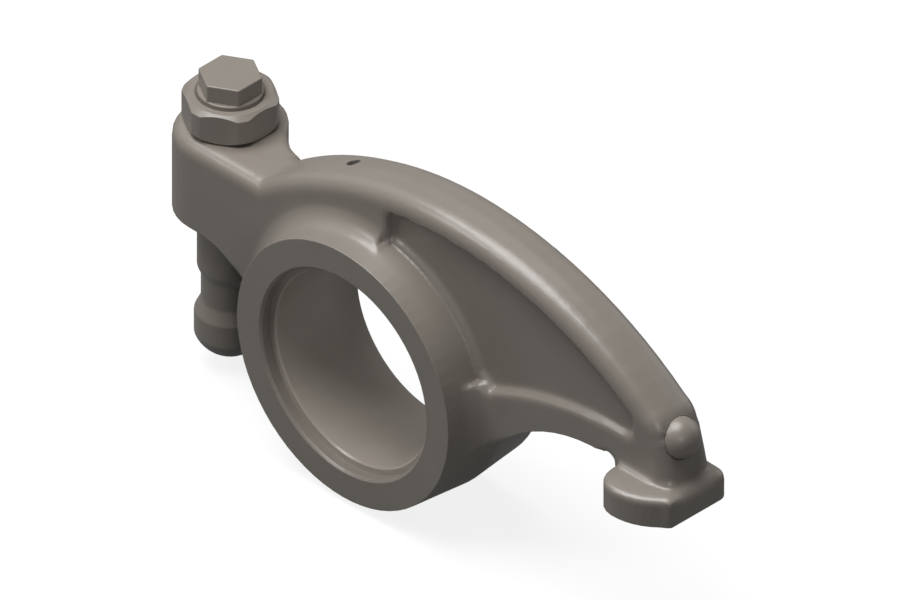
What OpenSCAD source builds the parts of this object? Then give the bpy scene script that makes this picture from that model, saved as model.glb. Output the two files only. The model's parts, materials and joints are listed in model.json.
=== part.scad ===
// Forged rocker arm for an overhead valve engine, in millimetres.
// The origin is the centre of the shaft bore, +Y runs along the bore, +Z is up
// along the adjusting screw and +X points at the valve pad.

/* [Shaft bore and hub] */
// Diameter of the rocker shaft that the bush runs on
shaft_d = 45; // [40:0.5:47]
// Wall of the plain bush
bush_wall = 1.7; // [1.2:0.1:2.5]
// Length of the plain bush
bush_len = 24.4; // [16:0.2:25]
// Chamfer at each end of the bush's bore
bush_chamfer = 0.4; // [0.2:0.1:0.8]
// Length of the hub along the shaft
hub_len = 28; // [27.5:0.5:34]
// Distance of the hub's front face from the arm's middle plane
hub_front = 15; // [13.5:0.5:15.5]
// Wall of the hub outside the bush, at its end faces
hub_wall = 6.9; // [5:0.1:9]
// Chamfer where the hub's bore meets its end faces
hub_chamfer = 0.5; // [0.2:0.1:1]
// Forging draft of the hub and of the arm's top, in degrees
draft = 5; // [2:0.5:7]
// Radius of the flare between the hub and the arm's sides
flare_r = 5.3; // [3:0.1:6.5]

/* [Arm] */
// Thickness of the arm at the hub and the screw boss
arm_t = 14; // [12:0.5:16]
// Thickness of the arm at the nose, where its front side tapers in
nose_t = 13.2; // [12:0.2:14]
// Distance of the crown, the highest point of the ridge, from the bore's axis along X
crown_x = 20.5; // [16:0.5:25]
// Height of the crown above the bore's axis
crown_z = 46.6; // [44:0.2:50]
// Radius of the ridge on the screw side of the crown
ridge_r_screw = 88.5; // [82:0.5:96]
// Radius of the ridge on the valve side of the crown
ridge_r_valve = 98; // [92:0.5:106]
// Rounding of the arm's front top edge
edge_r = 3.3; // [2:0.1:4]
// Rounding of the arm's back top edge
back_edge_r = 3.3; // [2:0.1:3.5]
// Rounding where the ridge turns down into the nose
knuckle_r = 8; // [5:0.5:12]
// Angle by which the nose's front leans back from upright
nose_lean = 15; // [11:0.5:18]

/* [Pockets] */
// Thickness of the web between the two pockets
web_t = 9; // [6:0.2:9.6]
// Depth of the upper rail below the ridge
rail_depth = 5.2; // [4.8:0.1:6.5]
// Distance of the pocket's end near the crown from the bore's axis along X
pocket_x0 = 4.7; // [3:0.1:8]
// Distance of the pocket's end near the nose from the bore's axis along X
pocket_x1 = 76.5; // [73:0.1:78]
// Radius of the pocket's corners in the side view
pocket_corner_r = 2.4; // [1.5:0.1:2.6]
// Rounding of the pocket's mouth
mouth_r = 1; // [0.6:0.1:1.2]
// Fillet at the pocket's floor
floor_r = 1; // [0.6:0.1:1.2]

/* [Screw boss] */
// Distance of the screw's axis from the bore's axis along X
screw_dist = 53.28; // [50:0.1:58]
// Distance of the screw's axis from the arm's middle plane along Y
screw_offset = 5.2; // [4:0.1:6.5]
// Height of the boss's top face above the bore's axis
boss_top = 28.2; // [26:0.2:30]
// Height of the boss
boss_h = 21.2; // [18:0.2:23]
// Radius of the fillet between the boss and the arm's back
boss_fillet_r = 14; // [8:0.5:17]

/* [Valve pad] */
// Distance of the pad's front edge from the bore's axis along X
pad_front = 90.4; // [88:0.05:93]
// Radius of the pad's bulged front side
pad_bulge_r = 14.05; // [13:0.05:15]
// Distance of the bulge's centre behind the pad's front edge
pad_bulge_in = 11.8; // [11:0.05:12.5]
// Distance of the pad's straight back side from the arm's middle plane
pad_back_y = 8.6; // [8:0.1:10]
// Length of the pad along X
pad_len = 18.1; // [17:0.1:19]
// Height of the pad's working face above the bore's axis
pad_z = 2.8; // [1:0.1:3.5]
// Thickness of the pad at its rim
pad_t = 6.8; // [5.5:0.1:7.5]
// Rounding of the pad's upper rim
pad_edge_r = 1.8; // [1:0.1:2.5]
// Fillet between the pad and the arm
pad_fillet_r = 2.6; // [1.5:0.1:3]

/* [Adjusting screw] */
// Diameter of the adjusting screw's threaded shank
screw_d = 14; // [12:0.5:15]
// Running clearance of the shank on the radius
thread_gap = 0.05; // [0.03:0.01:0.08]
// Size of the screw's hexagonal head across its flats
drive_af = 12; // [9:0.1:12.1]
// Height of the screw's hexagonal head
drive_h = 3.94; // [3:0.01:5]
// Diameter of the screw's neck
neck_d = 12.34; // [10:0.02:13]
// Diameter of the screw's foot
foot_d = 15.24; // [14:0.02:17]
// Radius of the round end of the screw's foot
foot_sphere_r = 8.13; // [7.9:0.01:9.5]
// Length of the screw from its shank's top to the end of the foot
screw_len = 66.7; // [62:0.1:72]

/* [Lock nut] */
// Size of the lock nut across its flats
nut_af = 19; // [17:0.5:21]
// Height of the lock nut
nut_h = 7.55; // [6:0.05:9]
// Length of the screw's shank above the nut
screw_proud = 0.71; // [0.3:0.01:1.5]

/* [Oil ways] */
// Diameter of the ball that plugs the oil gallery
ball_d = 9.3; // [7:0.1:10]
// Depth of the ball's centre below the nose's front
ball_depth = 1; // [0.5:0.1:2]
// Diameter of the oil gallery from the bore to the ball
gallery_d = 4; // [3:0.1:5]
// Rise of the oil gallery towards the nose, in degrees
gallery_rise = 12.55; // [12:0.05:13]
// Diameter of the oil hole in the ridge
oil_hole_d = 3; // [2:0.1:4]
// Distance of the oil hole from the bore's axis along X, at the ridge
oil_hole_x = -12.6; // [-15:0.1:-8]
// Distance of the oil hole from the arm's middle plane along Y
oil_hole_y = 0.8; // [0:0.1:1.5]

/* [Hidden] */
$fn = 96;
bore_r = shaft_d / 2;
seat_r = bore_r + bush_wall;
hub_r = seat_r + hub_wall;
hub_back = hub_len - hub_front;
hub_mid_r = hub_r + hub_front * tan(draft);
arm_h = arm_t / 2;
web_h = web_t / 2;

screw_r = screw_d / 2;
thread_r = screw_r + thread_gap;
boss_r = arm_h + screw_offset;
boss_bottom = boss_top - boss_h;

pad_x0 = pad_front - pad_len;
pad_top = pad_z + pad_t;
pad_c = [pad_front - pad_bulge_in, 0];
pad_tip_a = 46;
pad_corner_r = 6;
pad_tip_r = 1.5;

// Centres of the two ridge arcs, in the side view
ridge_c_screw = [crown_x, crown_z - ridge_r_screw];
ridge_c_valve = [crown_x, crown_z - ridge_r_valve];
crease_a = 180 - asin((boss_top - ridge_c_screw[1]) / ridge_r_screw);

// The nose's front line passes above the pad at this place
nose_foot = [pad_front - 3.1, pad_top + 1.4];
nose_dir = [-sin(nose_lean), cos(nose_lean)];
nose_t_knuckle = line_to_circle(nose_foot, nose_dir, ridge_c_valve, ridge_r_valve);
knuckle = nose_foot + nose_t_knuckle * nose_dir;
knuckle_a = atan2(knuckle[1] - ridge_c_valve[1], knuckle[0] - ridge_c_valve[0]);

// Underside of the arm: a broad arch on the valve side that curls into the pad
arch_r = 38.9;
curl_r = 4;
curl_c = [pad_x0 - curl_r - 0.15, pad_top - 2.74];
arch_c = [curl_c[0] - 1.7, curl_c[1] + curl_r - arch_r - 0.8];
// and a hollow on the screw side that falls at 45 degrees into the hub
hollow_r = 18;
hollow_c = [-screw_dist + 2.4, boss_bottom - hollow_r];
hub_inside_r = hub_r - 1;

lower_rail_r = 85;
lower_rail_c = [pocket_x1 - 4.5, curl_c[1] + curl_r + 6.6 - lower_rail_r];

nut_bottom = boss_top;
nut_top = nut_bottom + nut_h;
nut_corner_r = nut_af / 2 / cos(30) - 0.67;
nut_face_r = nut_af / 2 - 0.5;
nut_chamfer = 1;
nut_countersink = 0.5;
shank_top = nut_top + screw_proud;
foot_end = shank_top - screw_len;
neck_r = neck_d / 2;
foot_r = foot_d / 2;
foot_c_z = foot_end + foot_sphere_r;
belt_low = foot_c_z - sqrt(pow(foot_sphere_r, 2) - pow(foot_r, 2));
belt_top = belt_low + 5.5;
cone_top = belt_top + 3;
neck_top = cone_top + 6.45;
shank_bottom = neck_top + 2.05;

ball_r = ball_d / 2;
gallery_dir = [cos(gallery_rise), sin(gallery_rise)];
gallery_front = line_to_line([0, 0], gallery_dir, nose_foot, nose_dir);
ball_at = gallery_front - ball_depth;
// The ball's seat is a drilling with a 90 degree cone that touches it
ball_seat_r = ball_r + 0.02;
seat_depth = ball_seat_r * (sqrt(2) - 1);
oil_hole_z = ridge_c_screw[1] + sqrt(pow(ridge_r_screw, 2) - pow(oil_hole_x - crown_x, 2));
oil_hole_a = atan2(oil_hole_z, oil_hole_x);

forged = [0.42, 0.40, 0.37];
steel = [0.45, 0.43, 0.40];
bronze = [0.44, 0.42, 0.38];

// Distance along a line to where it leaves a circle
function line_to_circle(p, dir, c, r) =
    let (b = (p - c) * dir, k = (p - c) * (p - c) - r * r)
    -b + sqrt(b * b - k);

// Distance along the line p + t * d to where it meets the line q + s * e
function line_to_line(p, d, q, e) =
    ((q[0] - p[0]) * e[1] - (q[1] - p[1]) * e[0]) / (d[0] * e[1] - d[1] * e[0]);

// Points of an arc about c, in n steps from angle a0 to angle a1
function arc(c, r, a0, a1, n) =
    [for (i = [0:n]) let (a = a0 + (a1 - a0) * i / n) c + r * [cos(a), sin(a)]];

// Points of a rounded corner at p, between its neighbours a and b
function corner(a, p, b, r, n) =
    let (u = (a - p) / norm(a - p), v = (b - p) / norm(b - p))
    let (half = acos(u * v) / 2, mid = (u + v) / norm(u + v))
    let (c = p + mid * r / sin(half))
    let (p0 = p + u * r / tan(half) - c, p1 = p + v * r / tan(half) - c)
    let (a0 = atan2(p0[1], p0[0]), a1 = atan2(p1[1], p1[0]))
    let (turn = a1 - a0 > 180 ? a1 - a0 - 360 : a1 - a0 < -180 ? a1 - a0 + 360 : a1 - a0)
    arc(c, r, a0, a0 + turn, n);

// Inward direction at each point of a closed outline that runs anticlockwise
function inward(pts) =
    let (n = len(pts))
    [for (i = [0:n - 1])
        let (e0 = pts[i] - pts[(i + n - 1) % n], e1 = pts[(i + 1) % n] - pts[i])
        let (n0 = [-e0[1], e0[0]] / norm(e0), n1 = [-e1[1], e1[0]] / norm(e1))
        (n0 + n1) / (1 + n0 * n1)];

// The x and y of weighted points, and the same points with a weight
function flat2(pts) = [for (p = pts) [p[0], p[1]]];
function weighted(pts, w_draft, w_round) = [for (p = pts) [p[0], p[1], w_draft, w_round]];

// Solid skin over rings of equal length; seen from before the first ring they run
// anticlockwise. The caps list the points of the two ends.
module skin(rings, caps = []) {
    n = len(rings[0]);
    last = (len(rings) - 1) * n;
    ends = len(caps) > 0 ? caps : [[for (i = [0:n - 1]) i]];
    sides = [for (j = [0:len(rings) - 2], i = [0:n - 1])
        let (a = j * n + i, b = j * n + (i + 1) % n)
        each [[a, b, b + n], [a, b + n, a + n]]];
    first_faces = [for (c = ends) [for (i = [len(c) - 1:-1:0]) c[i]]];
    last_faces = [for (c = ends) [for (i = c) i + last]];
    polyhedron([for (r = rings) each r], concat(first_faces, sides, last_faces), 4);
}

// Distance of the arm's front (-1) or back (1) side from the middle plane at x
function half_t(x, side) =
    side > 0 ? arm_h : arm_h - (arm_t - nose_t) * max(0, x - crown_x) / (pad_front - crown_x);

// Side outline of the arm, each point with its weights for draft and edge rounding
arm_top_screw = arc(ridge_c_screw, ridge_r_screw, 90, crease_a, 18);
arm_under_screw = concat(
    [[-screw_dist, boss_bottom]],
    arc(hollow_c, hollow_r, 90, 45, 5),
    [[-hub_inside_r * cos(14), -hub_inside_r * sin(14)]]);
arm_under_valve = concat(
    [[crown_x, -hub_inside_r * sin(20)], [hub_inside_r * cos(20), -hub_inside_r * sin(20)]],
    arc(arch_c, arch_r, 135, 90 - asin(1.7 / arch_r), 9),
    [for (p = arc(curl_c, curl_r, 70, 0, 4)) p],
    [[pad_x0 + 0.4, pad_z + 1.5]]);
arm_front = [
    nose_foot - nose_dir * (nose_foot[1] - pad_z - 1.5) / nose_dir[1],
    nose_foot,
    nose_foot + nose_dir * (nose_t_knuckle - 4)];
arm_knuckle = corner(nose_foot, knuckle,
    ridge_c_valve + ridge_r_valve * [cos(knuckle_a + 2.5), sin(knuckle_a + 2.5)], knuckle_r, 4);
arm_top_valve = arc(ridge_c_valve, ridge_r_valve, knuckle_a + 2.5, 88, 13);
arm_outline = concat(
    weighted([for (i = [0:9]) arm_top_screw[i]], 1, 1),
    [for (i = [10:17]) [arm_top_screw[i][0], arm_top_screw[i][1], (18 - i) / 9, 1]],
    weighted([arm_top_screw[18], [-screw_dist, boss_top - 0.2]], 0, 1),
    weighted(arm_under_screw, 0, 0),
    weighted(arm_under_valve, 0, 0),
    weighted(arm_front, 0, 1),
    weighted(arm_knuckle, 0.6, 1),
    weighted(arm_top_valve, 1, 1));
arm_split = 20 + len(arm_under_screw);

// Ring at angle t of a rounded edge: share of half_t, place, inset and side
function edge_ring(r, t, side) = [1, -r * (1 - sin(t)), r * (1 - cos(t)), side];

// Arm as a skin across its thickness: a crisp ridge, drafted top and rounded edges
module arm_blank() {
    pts = flat2(arm_outline);
    dirs = inward(pts);
    n = len(pts);
    steps = [0, 20, 38, 54, 70, 90];
    rings = concat(
        [for (i = [5:-1:0]) edge_ring(edge_r, steps[i], -1)],
        [[0, 0, 0, 1]],
        [for (t = steps) edge_ring(back_edge_r, t, 1)]);
    skin([for (r = rings) [for (i = [0:n - 1])
        let (y = r[0] * half_t(pts[i][0], r[3]) + r[1])
        let (d = arm_outline[i][2] * y * tan(draft) + arm_outline[i][3] * r[2])
        let (p = pts[i] + d * dirs[i])
        [p[0], r[3] * y, p[1]]]],
        [[for (i = [0:arm_split]) i], concat([for (i = [arm_split:n - 1]) i], [0])]);
}

// Side outline of a pocket; its hub side is concentric with the bore
pocket_hub_r = hub_mid_r + 0.6;
pocket_left_z = sqrt(pow(pocket_hub_r, 2) - pow(pocket_x0, 2));
pocket_ceiling_valve = ridge_r_valve - rail_depth;
pocket_ceiling_screw = ridge_r_screw - rail_depth;
pocket_a1 = acos((pocket_x1 - crown_x) / pocket_ceiling_valve);
pocket_a0 = acos((pocket_x0 - crown_x) / pocket_ceiling_screw);
pocket_top_right = ridge_c_valve + pocket_ceiling_valve * [cos(pocket_a1), sin(pocket_a1)];
pocket_top_left = ridge_c_screw + pocket_ceiling_screw * [cos(pocket_a0), sin(pocket_a0)];
pocket_low_right = [pocket_x1, lower_rail_c[1] + lower_rail_r - 0.1];
pocket_low_arc = arc(lower_rail_c, lower_rail_r, 116, 93.2, 7);
pocket_low_left = pocket_low_arc[0];
pocket_hub_arc = arc([0, 0], pocket_hub_r, 76, atan2(pocket_low_left[1], pocket_low_left[0]) + 6, 9);
pocket_ceiling = concat(
    arc(ridge_c_valve, pocket_ceiling_valve, pocket_a1 + 3.2, 89, 10),
    arc(ridge_c_screw, pocket_ceiling_screw, 91, pocket_a0 - 3, 3));
pocket_outline = concat(
    pocket_ceiling,
    corner(pocket_ceiling[len(pocket_ceiling) - 1], pocket_top_left, [pocket_x0, 0],
        pocket_corner_r, 4),
    [[pocket_x0, pocket_left_z]],
    pocket_hub_arc,
    pocket_low_arc,
    corner(pocket_low_arc[7], pocket_low_right, pocket_top_right, pocket_corner_r, 4),
    corner(pocket_low_right, pocket_top_right, pocket_ceiling[0], pocket_corner_r, 4));

// Cutter for the pocket on one side, with a rounded mouth and a filleted floor
module pocket(side) {
    dirs = inward(pocket_outline);
    steps = [0, 30, 60, 90];
    outer = [[0, arm_t, -mouth_r]];
    mouth = [for (t = steps) [1, -mouth_r * (1 - cos(t)), -mouth_r * (1 - sin(t))]];
    floor = [for (t = steps) [0, web_h + floor_r * (1 - sin(t)), floor_r * (1 - cos(t))]];
    rings = concat(outer, mouth, floor);
    mirror([0, side > 0 ? 1 : 0, 0])
        skin([for (r = rings) [for (i = [0:len(pocket_outline) - 1])
            let (p = pocket_outline[i] + r[2] * dirs[i])
            [p[0], -(r[0] * half_t(pocket_outline[i][0], side) + r[1]), p[1]]]]);
}

// Turned rings that flare from the hub's outside down to the arm's side faces
module flare() {
    sink = 0.1;
    base = arm_h - 0.5;
    c_y = arm_h - sink + flare_r;
    dirs = inward(flat2(arm_outline));
    c_r = hub_r + (hub_front - c_y) * tan(draft) + flare_r - sink;
    rotate([90, 0, 0])
        intersection() {
            for (side = [0, 1]) mirror([0, 0, side])
                rotate_extrude()
                    polygon(concat(
                        [[0, base], [c_r, base]],
                        [for (p = arc([c_r, c_y], flare_r, 270, 180, 8)) p],
                        [[0, c_y]]));
            linear_extrude(height = 2 * (arm_h + flare_r), center = true)
                polygon([for (i = [0:len(dirs) - 1])
                    [arm_outline[i][0], arm_outline[i][1]] + sink * dirs[i]]);
        }
}

// Solid hub with forging draft to both sides of its middle
module hub() {
    back_r = hub_mid_r - hub_back * tan(draft);
    rotate([90, 0, 0])
        rotate_extrude()
            polygon([
                [0, -hub_back], [back_r, -hub_back], [hub_mid_r, 0],
                [hub_r, hub_front], [0, hub_front]]);
}

// Plan outline of the screw boss and its neck, weighted for the rim's rounding
boss_c = [-screw_dist, screw_offset];
fillet_c_y = arm_h + boss_fillet_r;
fillet_c = boss_c + [
    sqrt(pow(boss_r + boss_fillet_r, 2) - pow(fillet_c_y - screw_offset, 2)),
    fillet_c_y - screw_offset];
fillet_a = atan2(fillet_c[1] - boss_c[1], fillet_c[0] - boss_c[0]);
boss_end_x = ridge_c_screw[0] + ridge_r_screw * cos(crease_a) - 0.4;
boss_outline = concat(
    weighted(arc(boss_c, boss_r, fillet_a, 90, 5), 0, 0.2),
    weighted(arc(boss_c, boss_r, 100, 150, 5), 0, 0.6),
    weighted(arc(boss_c, boss_r, 160, 270, 10), 0, 1),
    weighted([[boss_end_x, -arm_h]], 0, 1),
    weighted([[boss_end_x, arm_h]], 0, 0.7),
    weighted(arc(fillet_c, boss_fillet_r, 258, fillet_a + 205, 4), 0, 0.65),
    weighted(arc(fillet_c, boss_fillet_r, fillet_a + 198, fillet_a + 184, 2), 0, 0.45));

// Screw boss: its outline skinned from the rounded rim downwards
module boss() {
    pts = flat2(boss_outline);
    dirs = inward(pts);
    rings = concat(
        [for (t = [90:-15:0]) [boss_top - edge_r * (1 - sin(t)), edge_r * (1 - cos(t))]],
        [[boss_bottom, 0]]);
    skin([for (r = rings) [for (i = [0:len(pts) - 1])
        let (w = boss_outline[i][3])
        let (p = pts[i] + dirs[i] * r[1] * w)
        [p[0], p[1], r[0] > boss_bottom ? boss_top - (boss_top - r[0]) * w : r[0]]]]);
}

// Plan outline of the valve pad: a bulged front side, a straight back side and a
// straight front edge, each point weighted for the rim's rounding
pad_back_c = [
    pad_x0 + pad_corner_r,
    -sqrt(pow(pad_bulge_r - pad_corner_r, 2) - pow(pad_x0 + pad_corner_r - pad_c[0], 2))];
pad_back_a = atan2(pad_back_c[1], pad_back_c[0] - pad_c[0]);
pad_bulge_end = pad_c + pad_bulge_r * [cos(pad_tip_a), -sin(pad_tip_a)];
pad_tip = [pad_front, pad_bulge_end[1] + (pad_front - pad_bulge_end[0]) * 0.7];
pad_outline = concat(
    weighted(arc(pad_back_c, pad_corner_r, -180, pad_back_a, 5), 0, 0.75),
    weighted(arc(pad_c, pad_bulge_r, pad_back_a + 8, -pad_tip_a, 5), 0, 0.75),
    weighted(corner(pad_bulge_end, pad_tip, [pad_front, 0], pad_tip_r, 3), 0, 0.8),
    weighted([[pad_front, -pad_back_y / 2], [pad_front, 0]], 0, 1.7),
    weighted(corner([pad_front, 0], [pad_front, pad_back_y], [pad_x0, pad_back_y], 2.6, 4), 0, 1.4),
    weighted(corner([pad_front, pad_back_y], [pad_x0, pad_back_y], [pad_x0, 0], 3, 4), 0, 1));

// Valve pad: its outline skinned from the rounded rim down to the working face
module pad() {
    dirs = inward(flat2(pad_outline));
    rings = concat(
        [for (t = [90:-18:0]) [pad_edge_r * (1 - sin(t)), pad_edge_r * (1 - cos(t))]],
        [[pad_t, 0]]);
    skin([for (r = rings) [for (i = [0:len(pad_outline) - 1])
        let (w = pad_outline[i][3])
        let (p = [pad_outline[i][0], pad_outline[i][1]] + dirs[i] * r[1] * w)
        [p[0], p[1], r[0] < pad_t ? pad_top - r[0] * w : pad_z]]]);
}

// Fillet that spreads the nose's foot onto the pad, weighted lower at the front
module pad_fillet() {
    side_y = half_t(pad_front, -1) - 0.1;
    front_x = nose_foot[0] + 0.1;
    back_x = pad_x0 + 0.4;
    foot_corner_r = 2.3;
    foot = concat(
        weighted(corner([front_x, 0], [front_x, side_y], [back_x, side_y], foot_corner_r, 4), 0, 0.5),
        weighted(corner([front_x, side_y], [back_x, side_y], [back_x, 0], 0.9, 3), 0, 0.5),
        weighted(corner([back_x, 0], [back_x, -side_y], [front_x, -side_y], 0.9, 3), 0, 1),
        weighted([[(front_x + back_x) / 2 + 2, -side_y]], 0, 1),
        weighted(corner([back_x, -side_y], [front_x, -side_y], [front_x, 0], foot_corner_r, 4), 0, 0.5));
    dirs = inward(flat2(foot));
    rings = concat(
        [for (t = [0:15:90]) [pad_top - 0.14, 1 - sin(t), cos(t) - 1]],
        [[pad_z + 2, 0, -1]]);
    skin([for (r = rings) [for (i = [0:len(foot) - 1])
        let (w = pad_fillet_r * foot[i][3])
        let (p = [foot[i][0], foot[i][1]] + dirs[i] * r[2] * w)
        [max(p[0], back_x + 0.2), p[1], r[0] + r[1] * w]]]);
}

// Straight drilling from the bore's axis, at an angle above +X in the side view
module drilling(angle, r, length) {
    rotate([0, 90 - angle, 0]) cylinder(r = r, h = length);
}

// 45 degree chamfer for a hole of radius r whose mouth is at z = 0
module countersink(r, depth) {
    reach = 0.5;
    translate([0, 0, -depth - reach])
        cylinder(r1 = r - reach, r2 = r + depth + reach, h = depth + 2 * reach);
}

// The forging as it leaves the die, with no machined faces
module forging() {
    difference() {
        union() {
            arm_blank();
            flare();
        }
        pocket(-1);
        pocket(1);
    }
    hub();
    boss();
    pad();
    pad_fillet();
}

// Forged body with its machined bore, screw hole, ball seat and oil ways
module rocker_body() {
    $fn = 68;
    color(forged)
        // the forging's blends are one faceted skin, kept at its own size
        resize([0, 0, 0]) difference() {
            forging();
            rotate([90, 0, 0]) cylinder(r = seat_r, h = 3 * hub_front, center = true);
            rotate([90, 0, 0]) translate([0, 0, hub_front]) countersink(seat_r, hub_chamfer);
            rotate([-90, 0, 0]) translate([0, 0, hub_back]) countersink(seat_r, hub_chamfer);
            translate([-screw_dist, screw_offset, boss_bottom - 1])
                cylinder(r = thread_r, h = boss_h + 2);
            drilling(gallery_rise, gallery_d / 2, ball_at);
            translate([0, oil_hole_y, 0])
                drilling(oil_hole_a, oil_hole_d / 2, norm([oil_hole_x, oil_hole_z]) + 5);
            rotate([0, 90 - gallery_rise, 0]) translate([0, 0, ball_at - seat_depth]) {
                cylinder(r = ball_seat_r, h = 12);
                translate([0, 0, gallery_d / 2 - ball_seat_r])
                    cylinder(r1 = gallery_d / 2, r2 = ball_seat_r, h = ball_seat_r - gallery_d / 2);
            }
        }
}

// Plain bush, pressed into the hub and set back from both of its faces
module shaft_bush() {
    color(bronze)
        difference() {
            rotate([90, 0, 0]) cylinder(r = seat_r, h = bush_len, center = true);
            rotate([90, 0, 0]) cylinder(r = bore_r, h = bush_len + 2, center = true);
            for (side = [0, 180]) rotate([90, 0, side])
                translate([0, 0, bush_len / 2]) countersink(bore_r, bush_chamfer);
            drilling(gallery_rise, gallery_d / 2, hub_mid_r);
            translate([0, oil_hole_y, 0]) drilling(oil_hole_a, oil_hole_d / 2, hub_mid_r);
        }
}

// Adjusting screw: hexagonal head, plain shank, neck and round foot, turned as one
module adjusting_screw() {
    foot_a = asin(foot_r / foot_sphere_r);
    color(steel)
        translate([-screw_dist, screw_offset, 0]) {
            rotate_extrude()
                polygon(concat(
                    [[0, shank_top], [screw_r, shank_top], [screw_r, shank_bottom]],
                    [[neck_r, neck_top], [neck_r, cone_top], [foot_r, belt_top]],
                    [for (i = [0:12]) let (a = foot_a * (1 - i / 12))
                        [foot_sphere_r * sin(a), foot_c_z - foot_sphere_r * cos(a)]]));
            translate([0, 0, shank_top - 1]) rotate([0, 0, 30])
                cylinder(r = drive_af / 2 / cos(30), h = drive_h + 1, $fn = 6);
        }
}

// Hexagonal lock nut with turned corners and a countersunk thread
module lock_nut() {
    color(steel)
        translate([-screw_dist, screw_offset, 0])
            difference() {
                intersection() {
                    translate([0, 0, nut_bottom]) rotate([0, 0, 30])
                        cylinder(r = nut_af / 2 / cos(30), h = nut_h, $fn = 6);
                    rotate_extrude()
                        polygon([
                            [0, nut_bottom], [nut_face_r, nut_bottom],
                            [nut_corner_r, nut_bottom + nut_chamfer],
                            [nut_corner_r, nut_top - nut_chamfer],
                            [nut_face_r, nut_top], [0, nut_top]]);
                }
                translate([0, 0, nut_bottom - 1]) cylinder(r = thread_r, h = nut_h + 2);
                translate([0, 0, nut_top]) countersink(thread_r, nut_countersink);
            }
}

// Steel ball that closes the outer end of the oil gallery
module oil_plug_ball() {
    color(steel)
        rotate([0, -gallery_rise, 0]) translate([ball_at, 0, 0]) sphere(r = ball_r);
}

rocker_body();
shaft_bush();
adjusting_screw();
lock_nut();
oil_plug_ball();
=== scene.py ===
import json
import math

import bpy
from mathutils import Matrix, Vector


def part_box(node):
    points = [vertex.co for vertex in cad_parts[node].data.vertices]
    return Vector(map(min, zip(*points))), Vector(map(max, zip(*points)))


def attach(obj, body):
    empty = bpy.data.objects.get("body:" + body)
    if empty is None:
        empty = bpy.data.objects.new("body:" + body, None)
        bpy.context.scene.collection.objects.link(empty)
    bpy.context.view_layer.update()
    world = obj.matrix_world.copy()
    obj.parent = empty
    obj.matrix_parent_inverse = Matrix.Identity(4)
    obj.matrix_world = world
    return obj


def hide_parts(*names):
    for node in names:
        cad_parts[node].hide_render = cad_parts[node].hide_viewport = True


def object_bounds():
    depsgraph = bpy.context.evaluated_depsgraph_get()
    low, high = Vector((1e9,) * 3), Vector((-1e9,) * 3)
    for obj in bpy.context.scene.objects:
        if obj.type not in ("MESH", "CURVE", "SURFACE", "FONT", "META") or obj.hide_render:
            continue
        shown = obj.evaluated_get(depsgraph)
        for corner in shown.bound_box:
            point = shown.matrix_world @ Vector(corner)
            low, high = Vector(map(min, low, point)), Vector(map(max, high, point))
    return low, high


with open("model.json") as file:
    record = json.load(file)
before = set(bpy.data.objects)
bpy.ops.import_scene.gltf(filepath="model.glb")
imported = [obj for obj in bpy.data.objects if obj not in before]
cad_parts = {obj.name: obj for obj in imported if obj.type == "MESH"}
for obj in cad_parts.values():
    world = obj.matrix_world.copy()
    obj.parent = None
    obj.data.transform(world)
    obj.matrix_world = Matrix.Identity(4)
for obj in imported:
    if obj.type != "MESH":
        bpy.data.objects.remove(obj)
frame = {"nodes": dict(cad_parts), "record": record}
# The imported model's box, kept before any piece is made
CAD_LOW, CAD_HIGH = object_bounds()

bl_info = {
    "name": "Rocker Arm",
    "version": (1, 0, 0),
    "blender": (4, 5, 0),
    "location": "View3D > Sidebar > Rocker Arm",
    "description": "Finishes a forged rocker arm and its small pieces, and sets a plain studio",
    "category": "Object",
}

MM = 0.001

# Places from the frame
SHAFT_BORE = next(m for m in frame["record"]["mounts"] if m["name"] == "shaft_bore")
SCREW_LOW, SCREW_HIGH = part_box("adjusting_screw")
SCREW_X = (SCREW_LOW.x + SCREW_HIGH.x) / 2
SCREW_Y = (SCREW_LOW.y + SCREW_HIGH.y) / 2
NUT_LOW, NUT_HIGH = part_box("lock_nut")
BUSH_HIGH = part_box("shaft_bush")[1]
BALL_LOW, BALL_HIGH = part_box("oil_plug_ball")

# Points nearer than MERGE become one, and so do faces that meet at less than FLAT
MERGE = 1e-6
FLAT = math.radians(0.25)

# How many sides stand for a round form, and the angle from the middle of a hexagon's side to its corner
TURNED_SIDES = 128
BORE_SIDES = 160
HOLE_SIDES = 48
HEX_CORNER = math.radians(30)

# The middle of what is turned about the shaft's axis
AXIS = (0, 0)

# The arcs of the ridge and of the lower rail on the valve side, in mm
RIDGE_X, RIDGE_Z, RIDGE_R = 20.5, -51.4, 98
RAIL_X, RAIL_Z, RAIL_R = 72, -67.54, 85

# The lip that the flare leaves along a pocket: the angles in degrees that it lies between, how far its
# cutter reaches outwards and to each side in mm, and the cutter's section as (radius, depth) in mm
LIP_LOW, LIP_HIGH = 17, 81
LIP_REACH, LIP_HALF = 90, 20
LIP_SECTION = [(31.92, 5.6), (36.5, 5.6), (36.5, 13), (31.28, 13)]

# Where the forging is softened, in mm. A rise is where the softening starts and where it is full, and
# a fade is where it ends and over what distance. Depths are from the arm's middle plane.
WEB_RISE = (3.6, 4.2)
HUB_FACE_FADE = (12.9, 1)
HUB_RISE = (30.4, 31.2)
FLARE_FADE = (41, 3)
FLARE_FROM_RIDGE = (3.6, 4.4)
RAIL_FROM_HUB = (38, 41)
RAIL_RISE = (-5, -4)
RAIL_FADE = (2.8, 1)
RAIL_FROM_RIDGE = (7, 8.5)
PAD_RISE = (66, 68)
PAD_TOP_RISE = (9, 9.6)
PAD_TOP_FADE = (12.5, 1)
SOFT_STEPS = 8

# The forging's even grid, and the half width of its parting line
GRID_DEPTH = 8
GRID_SCALE = 0.95
PARTING = 0.02 * MM

# The oil hole's start and direction in the bush, in mm. The hole in the CAD solids is nearer to
# upright by 2.6 degrees.
OIL_HOLE_START = (0, 0.8, 0)
OIL_HOLE_WAY = (-12.6, 0, 34.5)

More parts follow.
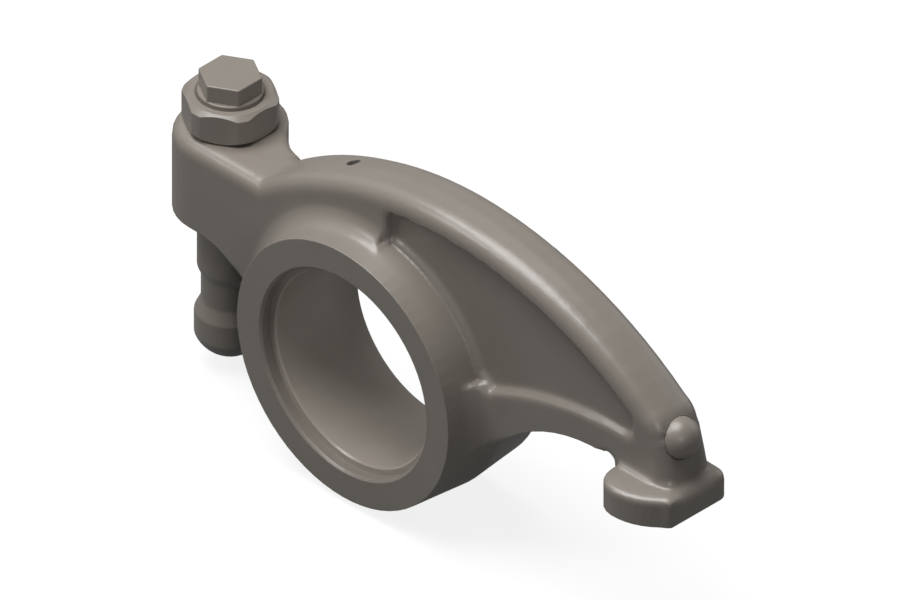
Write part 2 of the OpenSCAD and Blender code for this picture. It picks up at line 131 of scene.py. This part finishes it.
# Heights on the screw above the widest ring of its foot, the rings of its round end, how far its
# head's blank reaches into the shank, and its edges
BELT_TOP = 5.5 * MM
NECK_LOW = 8.5 * MM
NECK_HIGH = 14.95 * MM
SHANK_LOW = 17 * MM
FOOT_STEPS = 12
HEAD_SUNK = 1 * MM
SCREW_EDGE = 0.35 * MM
HEAD_EDGE = 0.3 * MM

# How far the nut's turned blank stays inside its flats and corners, its clearance round the screw and
# the depth of its countersink
NUT_FACE_IN = 0.5 * MM
NUT_CORNER_IN = 0.67 * MM
THREAD_GAP = 0.05 * MM
COUNTERSINK = 0.5 * MM

# Every finish: its reflection, its clouds per metre, and both ends of their tone, each as (place in the
# noise, factor on the colour)
SPECULAR = 0.75
CLOUD_SCALE = 90
CLOUD_DETAIL = 2
CLOUD_ROUGHNESS = 0.6
CLOUD_TONES = ((0.3, 0.965), (0.7, 1.035))

# The forging's edges: the samples of their rounding, the cosines at which the painted edge highlight
# starts and is full, and how much of its lighter colour shows there
EDGE_SAMPLES = 6
EDGE_HIGHLIGHT_FROM, EDGE_HIGHLIGHT_TO, EDGE_HIGHLIGHT_SHARE = 0.995, 0.90, 0.45

# The forging's grain: what it takes from the roughness and adds to it, and its bump
GRAIN_DETAIL = 3
GRAIN_GLOSSIER, GRAIN_DULLER = 0.05, 0.07
GRAIN_BUMP = 0.25
GRAIN_HEIGHT = 0.02 * MM

# The floor's width, its drop under the part, its glow and its greys, and how much of the white floor
# and surround is mirrored in the part
FLOOR_SIZE = 4
FLOOR_DROP = 0.1 * MM
FLOOR_GLOW = 1.06
FLOOR_WHITE, FLOOR_GREY = 0.95, 0.12
MIRRORED = 0.1

# The lamps' distance, and each lamp's direction and width; its level is a setting of the studio
LAMP_DISTANCE = 1.2
LAMPS = {
    "overhead": ((-0.2, -0.14, 1), 0.9),
    "left": ((-1, 0, 0.7), 0.8),
    "edge": ((-0.45, -0.6, 0.65), 0.3),
    "back": ((0.2, 1, 0.4), 0.8),
    "front": ((0.75, -0.5, 0.4), 0.35),
}

# The camera's isometric view: the point at its middle, the way back from it, and the camera's turn,
# distance and range
VIEW_MIDDLE = Vector((4.44, 12.2, 7.76)) * MM
VIEW_BACK = Vector((1, -1, 1)).normalized()
VIEW_TURN = (math.atan(math.sqrt(2)), 0, math.radians(45))
VIEW_DISTANCE = 0.5
VIEW_START, VIEW_END = 0.01, 10


class RockerSizes(bpy.types.PropertyGroup):
    """Sizes of the turned pieces."""

    shaft_d: bpy.props.FloatProperty(
        name="Shaft bore", description="Diameter of the bush's bore",
        default=2 * MM * SHAFT_BORE["dims"]["r_mm"], unit="LENGTH")
    bush_chamfer: bpy.props.FloatProperty(
        name="Bush chamfer", description="Chamfer at each end of the bush's bore",
        default=0.4 * MM, unit="LENGTH")
    gallery_d: bpy.props.FloatProperty(
        name="Oil gallery", description="Diameter of the oil gallery", default=4 * MM, unit="LENGTH")
    oil_hole_d: bpy.props.FloatProperty(
        name="Oil hole", description="Diameter of the oil hole in the ridge", default=3 * MM, unit="LENGTH")
    thread_d: bpy.props.FloatProperty(
        name="Screw", description="Diameter of the adjusting screw's shank", default=14 * MM, unit="LENGTH")
    neck_d: bpy.props.FloatProperty(
        name="Neck", description="Diameter of the screw's neck", default=12.34 * MM, unit="LENGTH")
    foot_d: bpy.props.FloatProperty(
        name="Foot", description="Diameter of the screw's foot", default=15.24 * MM, unit="LENGTH")
    foot_round: bpy.props.FloatProperty(
        name="Foot's round end", description="Radius of the foot's round end", default=8.13 * MM,
        unit="LENGTH")
    head_af: bpy.props.FloatProperty(
        name="Head across flats", description="Size of the screw's hexagonal head", default=12 * MM,
        unit="LENGTH")
    head_h: bpy.props.FloatProperty(
        name="Head height", description="Height of the screw's head", default=3.94 * MM, unit="LENGTH")
    nut_af: bpy.props.FloatProperty(
        name="Nut across flats", description="Size of the lock nut", default=19 * MM, unit="LENGTH")
    nut_chamfer: bpy.props.FloatProperty(
        name="Nut chamfer", description="Height of the nut's turned corners", default=1 * MM, unit="LENGTH")


class RockerFinish(bpy.types.PropertyGroup):
    """Colours and grain of the finish."""

    colour: bpy.props.FloatVectorProperty(
        name="Colour", description="Colour of the finish", subtype="COLOR", size=3,
        default=(0.262, 0.234, 0.205), min=0, max=1)
    # Painted highlight: the lighter colour that is laid along the rounded edges, where light would catch
    # them
    edge_highlight_colour: bpy.props.FloatVectorProperty(
        name="Edge colour", description="Colour of rubbed edges", subtype="COLOR", size=3,
        default=(0.46, 0.43, 0.40), min=0, max=1)
    edge_round: bpy.props.FloatProperty(
        name="Edge rounding", description="Rounding of the sharp edges", default=0.3 * MM, unit="LENGTH")
    roughness: bpy.props.FloatProperty(
        name="Roughness", description="Roughness of the finish", default=0.31, min=0, max=1,
        subtype="FACTOR")
    grain: bpy.props.FloatProperty(
        name="Grain", description="Size of the forging's grain", default=0.5 * MM, unit="LENGTH")


class RockerStudio(bpy.types.PropertyGroup):
    """Lamps, floor and camera."""

    overhead: bpy.props.FloatProperty(
        name="Overhead", description="Light from above, where 1 shows a colour as it is written",
        default=1.14, min=0)
    left: bpy.props.FloatProperty(
        name="Left", description="Light from the screw's side", default=0.05, min=0)
    front: bpy.props.FloatProperty(
        name="Front", description="Light on the near side", default=0.09, min=0)
    edge: bpy.props.FloatProperty(
        name="Edge", description="Small lamp that picks out the rounded edges", default=0.15, min=0)
    back: bpy.props.FloatProperty(
        name="Back", description="Light on the far side", default=0.1, min=0)
    surround: bpy.props.FloatProperty(
        name="Surround", description="Light from all round", default=0.04, min=0)
    shadow: bpy.props.FloatProperty(
        name="Shadow", description="Depth of the floor's shadow", default=0.2, min=0, max=1,
        subtype="FACTOR")
    view_width: bpy.props.FloatProperty(
        name="View width", description="Width of the camera's view", default=187.5 * MM, unit="LENGTH")


def sizes():
    """The sizes as they are set in the scene."""
    return bpy.context.scene.rocker_sizes


def clear():
    """Leaves edit mode and selects nothing."""
    if bpy.context.object and bpy.context.object.mode != "OBJECT":
        bpy.ops.object.mode_set(mode="OBJECT")
    bpy.ops.object.select_all(action="DESELECT")


def pick(piece):
    """Makes piece the only selected object, and the active one."""
    clear()
    piece.select_set(True)
    bpy.context.view_layer.objects.active = piece


def named(name):
    """Names the piece just added and its mesh, and puts its place in its mesh."""
    piece = bpy.context.object
    piece.name = name
    piece.data.name = name
    bpy.ops.object.transform_apply(location=True, rotation=True, scale=True)
    return piece


def turned(name, profile, centre, sides=TURNED_SIDES, ring=False):
    """A piece turned about a vertical line through centre, from (radius, height) points."""
    clear()
    radius, height = profile[0]
    bpy.ops.mesh.primitive_circle_add(
        vertices=sides, radius=radius, fill_type="NOTHING" if ring else "NGON",
        location=(centre[0], centre[1], height))
    piece = named(name)
    bpy.ops.object.mode_set(mode="EDIT")
    bpy.ops.mesh.select_all(action="SELECT")
    for next_radius, next_height in profile[1:]:
        bpy.ops.mesh.extrude_region_move(
            TRANSFORM_OT_translate={"value": (0, 0, next_height - height)})
        scale = next_radius / radius
        bpy.ops.transform.resize(
            value=(scale, scale, 1), center_override=(centre[0], centre[1], next_height))
        radius, height = next_radius, next_height
    bpy.ops.mesh.select_all(action="SELECT")
    bpy.ops.mesh.remove_doubles(threshold=MERGE)
    bpy.ops.mesh.normals_make_consistent(inside=False)
    bpy.ops.object.mode_set(mode="OBJECT")
    return piece


def apply(piece, kind, name, **settings):
    """Adds a modifier to piece and applies it."""
    pick(piece)
    modifier = piece.modifiers.new(name, kind)
    for key, value in settings.items():
        setattr(modifier, key, value)
    bpy.ops.object.modifier_apply(modifier=modifier.name)


def combine(piece, tool, operation):
    """Cuts, joins or crosses piece with tool, which is used up."""
    apply(piece, "BOOLEAN", "Combine", operation=operation, solver="EXACT", object=tool)
    bpy.data.objects.remove(tool)


def drill(name, start, direction, radius, length):
    """A cylinder from start along direction."""
    clear()
    middle = Vector(start) + Vector(direction).normalized() * length / 2
    turn = Vector(direction).to_track_quat("Z", "Y").to_euler()
    bpy.ops.mesh.primitive_cylinder_add(
        vertices=HOLE_SIDES, radius=radius, depth=length, location=middle, rotation=turn)
    return named(name)


def merged_copy(node, name):
    """A copy of a node's mesh with its triangles joined and its flat faces made whole."""
    clear()
    piece = bpy.data.objects.new(name, frame["nodes"][node].data.copy())
    piece.data.name = name
    piece.data.materials.clear()
    bpy.context.scene.collection.objects.link(piece)
    pick(piece)
    if piece.data.has_custom_normals:
        bpy.ops.mesh.customdata_custom_splitnormals_clear()
    bpy.ops.object.mode_set(mode="EDIT")
    bpy.ops.mesh.select_all(action="SELECT")
    bpy.ops.mesh.remove_doubles(threshold=MERGE)
    bpy.ops.mesh.dissolve_limited(angle_limit=FLAT)
    bpy.ops.object.mode_set(mode="OBJECT")
    return piece


def smooth(piece, angle):
    """Shades piece smooth where its faces meet at less than angle, in degrees."""
    pick(piece)
    bpy.ops.object.shade_smooth_by_angle(angle=math.radians(angle))


def mark_sharp(piece, test):
    """Marks the edges sharp whose two ends pass test."""
    pick(piece)
    bpy.context.tool_settings.mesh_select_mode = (False, True, False)
    bpy.ops.object.mode_set(mode="EDIT")
    bpy.ops.mesh.select_all(action="DESELECT")
    bpy.ops.object.mode_set(mode="OBJECT")
    ends = [test(v.co) for v in piece.data.vertices]
    for edge in piece.data.edges:
        edge.select = all(ends[i] for i in edge.vertices)
    bpy.ops.object.mode_set(mode="EDIT")
    bpy.ops.mesh.mark_sharp()
    bpy.ops.object.mode_set(mode="OBJECT")


def soften(piece, weight, steps):
    """Smooths piece where weight, from 0 to 1 at each point, says so."""
    group = piece.vertex_groups.new(name="soft")
    for vertex in piece.data.vertices:
        share = weight(vertex.co / MM)
        if share > 0:
            group.add([vertex.index], share, "REPLACE")
    apply(piece, "SMOOTH", "Soft", factor=0.5, iterations=steps, vertex_group="soft")


def ramp(value, low, high):
    """0 below low, 1 above high and a straight line between."""
    return min(1, max(0, (value - low) / (high - low)))


def fade(value, end, over):
    """0 above end, 1 from over below it, and a straight line between."""
    return ramp(end, value, value + over)


def blend_weight(p):
    """Share of softening at a point in mm: round the hub's flare, on the lower rail and at the pad."""
    radius, depth = math.hypot(p.x, p.z), abs(p.y)
    off_web = ramp(depth, *WEB_RISE)
    from_ridge = RIDGE_R - math.hypot(p.x - RIDGE_X, p.z - RIDGE_Z)
    from_rail = RAIL_R - math.hypot(p.x - RAIL_X, p.z - RAIL_Z)
    flare = off_web * fade(depth, *HUB_FACE_FADE) * ramp(radius, *HUB_RISE) * fade(radius, *FLARE_FADE)
    rail = off_web * ramp(radius, *RAIL_FROM_HUB) * ramp(from_rail, *RAIL_RISE) * fade(from_rail, *RAIL_FADE)
    pad = ramp(p.x, *PAD_RISE) * ramp(p.z, *PAD_TOP_RISE) * fade(p.z, *PAD_TOP_FADE)
    return max(flare * ramp(from_ridge, *FLARE_FROM_RIDGE), rail * ramp(from_ridge, *RAIL_FROM_RIDGE), pad)


def pocket_lip(side):
    """Cutter for the lip that the flare leaves along a pocket, down to a plain cone."""
    profile = [(radius * MM, depth * MM) for radius, depth in (*LIP_SECTION, LIP_SECTION[0])]
    ring = turned("lip", profile, AXIS, sides=BORE_SIDES, ring=True)
    ring.rotation_euler = (math.radians(90 * -side), 0, 0)
    pick(ring)
    bpy.ops.object.transform_apply(rotation=True)
    clear()
    bpy.ops.mesh.primitive_cylinder_add(vertices=3, radius=1, depth=1)
    wedge = named("wedge")
    for number, (angle, reach) in enumerate(((0, 0), (LIP_LOW, LIP_REACH), (LIP_HIGH, LIP_REACH))):
        a = math.radians(angle)
        for level in (0, 1):
            corner = wedge.data.vertices[2 * number + level]
            corner.co = Vector((reach * math.cos(a), (2 * level - 1) * LIP_HALF, reach * math.sin(a))) * MM
    pick(wedge)
    bpy.ops.object.mode_set(mode="EDIT")
    bpy.ops.mesh.select_all(action="SELECT")
    bpy.ops.mesh.normals_make_consistent(inside=False)
    bpy.ops.object.mode_set(mode="OBJECT")
    combine(ring, wedge, "INTERSECT")
    return ring


def fit_box(piece, low, high):
    """Brings piece, which a re-mesh swells by a hair, back inside the box from low to high."""
    pick(piece)
    places = [vertex.co for vertex in piece.data.vertices]
    least = Vector([min(p[i] for p in places) for i in range(3)])
    most = Vector([max(p[i] for p in places) for i in range(3)])
    bpy.ops.object.mode_set(mode="EDIT")
    bpy.ops.mesh.select_all(action="SELECT")
    scale = [min(1, (high[i] - low[i]) / (most[i] - least[i])) for i in range(3)]
    bpy.ops.transform.resize(value=scale, center_override=(least + most) / 2)
    bpy.ops.transform.translate(value=(Vector(low) + Vector(high) - least - most) / 2)
    bpy.ops.object.mode_set(mode="OBJECT")


def even_normals(piece):
    """Lets the large faces set the shading of the edges that they share."""
    apply(piece, "WEIGHTED_NORMAL", "Normals", mode="FACE_AREA", weight=50, keep_sharp=True)


def cloudy_tone(nodes, links, place, colour):
    """A colour that drifts a little to each side of colour."""
    clouds = nodes.new("ShaderNodeTexNoise")
    clouds.inputs["Scale"].default_value = CLOUD_SCALE
    clouds.inputs["Detail"].default_value = CLOUD_DETAIL
    clouds.inputs["Roughness"].default_value = CLOUD_ROUGHNESS
    links.new(place.outputs["Object"], clouds.inputs["Vector"])
    tones = nodes.new("ShaderNodeValToRGB")
    for stop, (position, factor) in zip(tones.color_ramp.elements, CLOUD_TONES):
        stop.position = position
        stop.color = (*[min(1, c * factor) for c in colour], 1)
    links.new(clouds.outputs["Fac"], tones.inputs["Fac"])
    return tones.outputs["Color"]


def painted_edge_highlight(nodes, links, rounding, tone):
    """Tone, turned towards a lighter colour where rounding turns the surface: a painted highlight along the
    edges.
    """
    surface = nodes.new("ShaderNodeNewGeometry")
    turn = nodes.new("ShaderNodeVectorMath")
    turn.operation = "DOT_PRODUCT"
    links.new(rounding.outputs["Normal"], turn.inputs[0])
    links.new(surface.outputs["Normal"], turn.inputs[1])
    # How much painted highlight each point gets, rising as the rounding turns the surface
    highlit = nodes.new("ShaderNodeMapRange")
    highlit.inputs["From Min"].default_value = EDGE_HIGHLIGHT_FROM
    highlit.inputs["From Max"].default_value = EDGE_HIGHLIGHT_TO
    highlit.inputs["To Max"].default_value = EDGE_HIGHLIGHT_SHARE
    links.new(turn.outputs["Value"], highlit.inputs["Value"])
    mix = nodes.new("ShaderNodeMix")
    mix.data_type = "RGBA"
    factor, first, second = mix.inputs[0], mix.inputs[6], mix.inputs[7]
    second.default_value = (*bpy.context.scene.rocker_finish.edge_highlight_colour, 1)
    links.new(highlit.outputs["Result"], factor)
    links.new(tone, first)
    return mix.outputs[2]


def fine_grain(nodes, links, place, rounding, shader, roughness):
    """Gives shader the forging's grain, in its roughness and as a bump over the rounded edges."""
    fine = nodes.new("ShaderNodeTexNoise")
    fine.inputs["Scale"].default_value = 1 / bpy.context.scene.rocker_finish.grain
    fine.inputs["Detail"].default_value = GRAIN_DETAIL
    links.new(place.outputs["Object"], fine.inputs["Vector"])
    rough = nodes.new("ShaderNodeMapRange")
    rough.inputs["To Min"].default_value = roughness - GRAIN_GLOSSIER
    rough.inputs["To Max"].default_value = roughness + GRAIN_DULLER
    links.new(fine.outputs["Fac"], rough.inputs["Value"])
    links.new(rough.outputs["Result"], shader.inputs["Roughness"])
    bump = nodes.new("ShaderNodeBump")
    bump.inputs["Strength"].default_value = GRAIN_BUMP
    bump.inputs["Distance"].default_value = GRAIN_HEIGHT
    links.new(fine.outputs["Fac"], bump.inputs["Height"])
    links.new(rounding.outputs["Normal"], bump.inputs["Normal"])
    links.new(bump.outputs["Normal"], shader.inputs["Normal"])


def finish_material(name, tone=1.0, shine=0.0, edge_sheen_and_grain=False):
    """Smooth grey finish with a cloudy tone; where asked, also rounded edges with a painted highlight along
    them, and a grain.
    """
    look = bpy.context.scene.rocker_finish
    roughness = look.roughness - shine
    material = bpy.data.materials.new(name)
    material.use_nodes = True
    nodes, links = material.node_tree.nodes, material.node_tree.links
    shader = nodes["Principled BSDF"]
    shader.inputs["Metallic"].default_value = 0.0
    shader.inputs["Specular IOR Level"].default_value = SPECULAR
    shader.inputs["Roughness"].default_value = roughness
    place = nodes.new("ShaderNodeTexCoord")
    colour = cloudy_tone(nodes, links, place, [min(1, c * tone) for c in look.colour])
    if edge_sheen_and_grain:
        rounding = nodes.new("ShaderNodeBevel")
        rounding.samples = EDGE_SAMPLES
        rounding.inputs["Radius"].default_value = look.edge_round
        # Painted highlight: the colour turns lighter along the rounded edges
        colour = painted_edge_highlight(nodes, links, rounding, colour)
        fine_grain(nodes, links, place, rounding, shader, roughness)
    links.new(colour, shader.inputs["Base Color"])
    return material


def place_piece(piece, body, node, material):
    """Gives piece its finish and sets it in place of a node."""
    piece.data.materials.clear()
    piece.data.materials.append(material)
    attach(piece, body)
    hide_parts(node)


class ROCKER_OT_forging(bpy.types.Operator):
    """Finish the forged body: trimmed pocket lips, soft blends and a crisp parting line"""

    bl_idname = "rocker.forging"
    bl_label = "Forged body"

    def execute(self, context):
        piece = merged_copy("rocker_body", "forged_body")
        for side in (-1, 1):
            combine(piece, pocket_lip(side), "DIFFERENCE")
        apply(piece, "REMESH", "Even grid", mode="SHARP", octree_depth=GRID_DEPTH, scale=GRID_SCALE,
              sharpness=1, threshold=1, use_remove_disconnected=True)
        soften(piece, blend_weight, SOFT_STEPS)
        fit_box(piece, *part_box("rocker_body"))
        smooth(piece, angle=31)
        mark_sharp(piece, lambda p: abs(p.y) < PARTING)
        even_normals(piece)
        # The forging's finish has a painted highlight along its rounded edges, and a grain
        place_piece(piece, "rocker", "rocker_body",
                    finish_material("forged_finish", edge_sheen_and_grain=True))
        return {"FINISHED"}


class ROCKER_OT_bush(bpy.types.Operator):
    """Turn the plain bush, with chamfered ends and its two oil holes"""

    bl_idname = "rocker.bush"
    bl_label = "Plain bush"

    def execute(self, context):
        size = sizes()
        inner, outer = size.shaft_d / 2, BUSH_HIGH.z
        end, flare = BUSH_HIGH.y, size.bush_chamfer
        piece = turned("plain_bush", [
            (inner + flare, -end), (outer, -end), (outer, end), (inner + flare, end),
            (inner, end - flare), (inner, flare - end), (inner + flare, -end)],
            AXIS, sides=BORE_SIDES, ring=True)
        piece.rotation_euler = (math.radians(90), 0, 0)
        bpy.ops.object.transform_apply(rotation=True)
        ball = (BALL_LOW + BALL_HIGH) / 2
        gallery = drill("gallery", (0, 0, 0), (ball.x, 0, ball.z), size.gallery_d / 2, 2 * outer)
        combine(piece, gallery, "DIFFERENCE")
        start = Vector(OIL_HOLE_START) * MM
        hole = drill("hole", start, OIL_HOLE_WAY, size.oil_hole_d / 2, 2 * outer)
        combine(piece, hole, "DIFFERENCE")
        smooth(piece, angle=30)
        # Painted light: the bush's colour is 1.6 times lighter than the rest, so that the shaded bore inside
        # it looks lit
        place_piece(piece, "rocker", "shaft_bush",
                    finish_material("bush_finish", tone=1.6, shine=0.04))
        return {"FINISHED"}


class ROCKER_OT_adjusting_screw(bpy.types.Operator):
    """Turn the adjusting screw from its round foot up, and add its hexagonal head"""

    bl_idname = "rocker.adjusting_screw"
    bl_label = "Adjusting screw"

    def execute(self, context):
        size = sizes()
        low, high = SCREW_LOW.z, SCREW_HIGH.z
        shank, neck, foot, end = size.thread_d / 2, size.neck_d / 2, size.foot_d / 2, size.foot_round
        top = high - size.head_h
        widest = math.asin(foot / end)
        profile = []
        for i in range(1, FOOT_STEPS + 1):
            a = widest * i / FOOT_STEPS
            profile.append((end * math.sin(a), low + end * (1 - math.cos(a))))
        belt = profile[-1][1]
        profile += [
            (foot, belt + BELT_TOP), (neck, belt + NECK_LOW), (neck, belt + NECK_HIGH),
            (shank, belt + SHANK_LOW), (shank, top)]
        piece = turned("adjusting_screw_turned", profile, (SCREW_X, SCREW_Y))
        apply(piece, "BEVEL", "Edges", width=SCREW_EDGE, segments=3, limit_method="ANGLE",
              angle_limit=math.radians(18))
        clear()
        depth = size.head_h + HEAD_SUNK
        bpy.ops.mesh.primitive_cylinder_add(
            vertices=6, radius=size.head_af / 2 / math.cos(HEX_CORNER), depth=depth,
            location=(SCREW_X, SCREW_Y, high - depth / 2))
        head = named("head")
        apply(head, "BEVEL", "Edges", width=HEAD_EDGE, segments=3, limit_method="ANGLE",
              angle_limit=math.radians(30))
        combine(piece, head, "UNION")
        smooth(piece, angle=32)
        even_normals(piece)
        place_piece(piece, "screw", "adjusting_screw",
                    finish_material("screw_finish", tone=1.02, shine=0.03))
        return {"FINISHED"}


class ROCKER_OT_lock_nut(bpy.types.Operator):
    """Shape the lock nut from a hexagon, a turned blank and its countersunk hole"""

    bl_idname = "rocker.lock_nut"
    bl_label = "Lock nut"

    def execute(self, context):
        size = sizes()
        low, high = NUT_LOW.z, NUT_HIGH.z
        corner = size.nut_af / 2 / math.cos(HEX_CORNER)
        clear()
        bpy.ops.mesh.primitive_cylinder_add(
            vertices=6, radius=corner, depth=high - low, location=(SCREW_X, SCREW_Y, (low + high) / 2))
        piece = named("lock_nut_shaped")
        face, middle = size.nut_af / 2 - NUT_FACE_IN, corner - NUT_CORNER_IN
        blank = turned("blank", [
            (face, low), (middle, low + size.nut_chamfer), (middle, high - size.nut_chamfer), (face, high)],
            (SCREW_X, SCREW_Y))
        combine(piece, blank, "INTERSECT")
        thread = size.thread_d / 2 + THREAD_GAP
        hole = turned("hole", [
            (thread, low - 2 * COUNTERSINK), (thread, high - COUNTERSINK),
            (thread + 2 * COUNTERSINK, high + COUNTERSINK)], (SCREW_X, SCREW_Y))
        combine(piece, hole, "DIFFERENCE")
        smooth(piece, angle=28)
        even_normals(piece)
        place_piece(piece, "nut", "lock_nut",
                    finish_material("nut_finish", tone=1.02, shine=0.03))
        return {"FINISHED"}


class ROCKER_OT_plug_ball(bpy.types.Operator):
    """Finish the ball that plugs the oil gallery"""

    bl_idname = "rocker.plug_ball"
    bl_label = "Plug ball"

    def execute(self, context):
        piece = merged_copy("oil_plug_ball", "plug_ball")
        smooth(piece, angle=60)
        place_piece(piece, "rocker", "oil_plug_ball",
                    finish_material("ball_finish", tone=1.02, shine=-0.06))
        return {"FINISHED"}


def lamp(name, direction, size, level):
    """A square soft lamp that shines on the part from direction; level 1 shows a colour as written."""
    towards = Vector(direction).normalized()
    bpy.ops.object.light_add(
        type="AREA", location=towards * LAMP_DISTANCE,
        rotation=towards.to_track_quat("Z", "Y").to_euler())
    light = bpy.context.object
    light.name = name
    light.data.shape = "SQUARE"
    light.data.size = size
    light.data.energy = level * math.pi ** 2 * LAMP_DISTANCE ** 2


def grey(level):
    """A grey, from 0 for black to 1 for white, as a colour socket takes it."""
    return (level, level, level, 1)


def seen_or_mirrored(nodes, links):
    """Factor that is 1 for camera and transmission rays and small for glossy rays."""
    path = nodes.new("ShaderNodeLightPath")
    first = nodes.new("ShaderNodeMath")
    first.operation = "MULTIPLY_ADD"
    first.inputs[1].default_value = MIRRORED
    second = nodes.new("ShaderNodeMath")
    second.use_clamp = True
    links.new(path.outputs["Is Glossy Ray"], first.inputs[0])
    links.new(path.outputs["Is Camera Ray"], first.inputs[2])
    links.new(first.outputs[0], second.inputs[0])
    links.new(path.outputs["Is Transmission Ray"], second.inputs[1])
    return second.outputs[0]


def floor_material(shadow):
    """White with a faint shadow where it is seen, and dark grey where it throws light back."""
    material = bpy.data.materials.new("pale_floor")
    material.use_nodes = True
    nodes, links = material.node_tree.nodes, material.node_tree.links
    nodes.clear()
    output = nodes.new("ShaderNodeOutputMaterial")
    glow = nodes.new("ShaderNodeEmission")
    glow.inputs["Strength"].default_value = FLOOR_GLOW
    white = nodes.new("ShaderNodeBsdfDiffuse")
    white.inputs["Color"].default_value = grey(FLOOR_WHITE)
    dark = nodes.new("ShaderNodeBsdfDiffuse")
    dark.inputs["Color"].default_value = grey(FLOOR_GREY)
    seen = nodes.new("ShaderNodeMixShader")
    seen.inputs["Fac"].default_value = shadow
    links.new(glow.outputs[0], seen.inputs[1])
    links.new(white.outputs[0], seen.inputs[2])
    both = nodes.new("ShaderNodeMixShader")
    links.new(seen_or_mirrored(nodes, links), both.inputs["Fac"])
    links.new(dark.outputs[0], both.inputs[1])
    links.new(seen.outputs[0], both.inputs[2])
    links.new(both.outputs[0], output.inputs["Surface"])
    return material


class ROCKER_OT_studio(bpy.types.Operator):
    """Set the pale floor, the soft lamps, the white surround and the camera"""

    bl_idname = "rocker.studio"
    bl_label = "Studio"

    def execute(self, context):
        studio = context.scene.rocker_studio
        clear()
        bpy.ops.mesh.primitive_plane_add(size=FLOOR_SIZE, location=(0, 0, CAD_LOW.z - FLOOR_DROP))
        floor = named("pale_floor")
        floor.data.materials.append(floor_material(studio.shadow))

        for key, (direction, size) in LAMPS.items():
            lamp(f"{key}_lamp", direction, size, getattr(studio, key))

        world = bpy.data.worlds.new("white_surround")
        context.scene.world = world
        world.use_nodes = True
        nodes, links = world.node_tree.nodes, world.node_tree.links
        nodes.clear()
        output = nodes.new("ShaderNodeOutputWorld")
        dim = nodes.new("ShaderNodeBackground")
        dim.inputs["Color"].default_value = grey(1)
        dim.inputs["Strength"].default_value = studio.surround
        white = nodes.new("ShaderNodeBackground")
        white.inputs["Color"].default_value = grey(1)
        mix = nodes.new("ShaderNodeMixShader")
        links.new(seen_or_mirrored(nodes, links), mix.inputs["Fac"])
        links.new(dim.outputs[0], mix.inputs[1])
        links.new(white.outputs[0], mix.inputs[2])
        links.new(mix.outputs[0], output.inputs["Surface"])
        context.scene.view_settings.view_transform = "Standard"

        bpy.ops.object.camera_add(
            location=VIEW_MIDDLE + VIEW_BACK * VIEW_DISTANCE, rotation=VIEW_TURN)
        camera = context.object
        camera.name = "photo_camera"
        camera.data.type = "ORTHO"
        camera.data.ortho_scale = studio.view_width
        camera.data.clip_start = VIEW_START
        camera.data.clip_end = VIEW_END
        context.scene.camera = camera
        return {"FINISHED"}


class ROCKER_PT_panel(bpy.types.Panel):
    """Lists the steps that build the part"""

    bl_idname = "ROCKER_PT_panel"
    bl_label = "Rocker Arm"
    bl_space_type = "VIEW_3D"
    bl_region_type = "UI"
    bl_category = "Rocker Arm"

    def draw(self, context):
        scene = context.scene
        groups = (("Sizes", scene.rocker_sizes), ("Finish", scene.rocker_finish),
                  ("Studio", scene.rocker_studio))
        for title, group in groups:
            box = self.layout.box()
            box.label(text=title)
            for key in group.bl_rna.properties.keys():
                if key not in ("rna_type", "name"):
                    box.prop(group, key)
        for step in STEPS:
            self.layout.operator(step.bl_idname)


GROUPS = (RockerSizes, RockerFinish, RockerStudio)
STEPS = (
    ROCKER_OT_forging, ROCKER_OT_bush, ROCKER_OT_adjusting_screw, ROCKER_OT_lock_nut,
    ROCKER_OT_plug_ball, ROCKER_OT_studio)
CLASSES = GROUPS + STEPS + (ROCKER_PT_panel,)


def register():
    """Registers the classes and hangs their settings on the scene."""
    for item in CLASSES:
        bpy.utils.register_class(item)
    bpy.types.Scene.rocker_sizes = bpy.props.PointerProperty(type=RockerSizes)
    bpy.types.Scene.rocker_finish = bpy.props.PointerProperty(type=RockerFinish)
    bpy.types.Scene.rocker_studio = bpy.props.PointerProperty(type=RockerStudio)


def unregister():
    """Takes the settings and the classes away again."""
    del bpy.types.Scene.rocker_studio
    del bpy.types.Scene.rocker_finish
    del bpy.types.Scene.rocker_sizes
    for item in reversed(CLASSES):
        bpy.utils.unregister_class(item)


def main():
    register()
    bpy.ops.rocker.forging()
    bpy.ops.rocker.bush()
    bpy.ops.rocker.adjusting_screw()
    bpy.ops.rocker.lock_nut()
    bpy.ops.rocker.plug_ball()
    bpy.ops.rocker.studio()


if __name__ == "__main__":
    main()
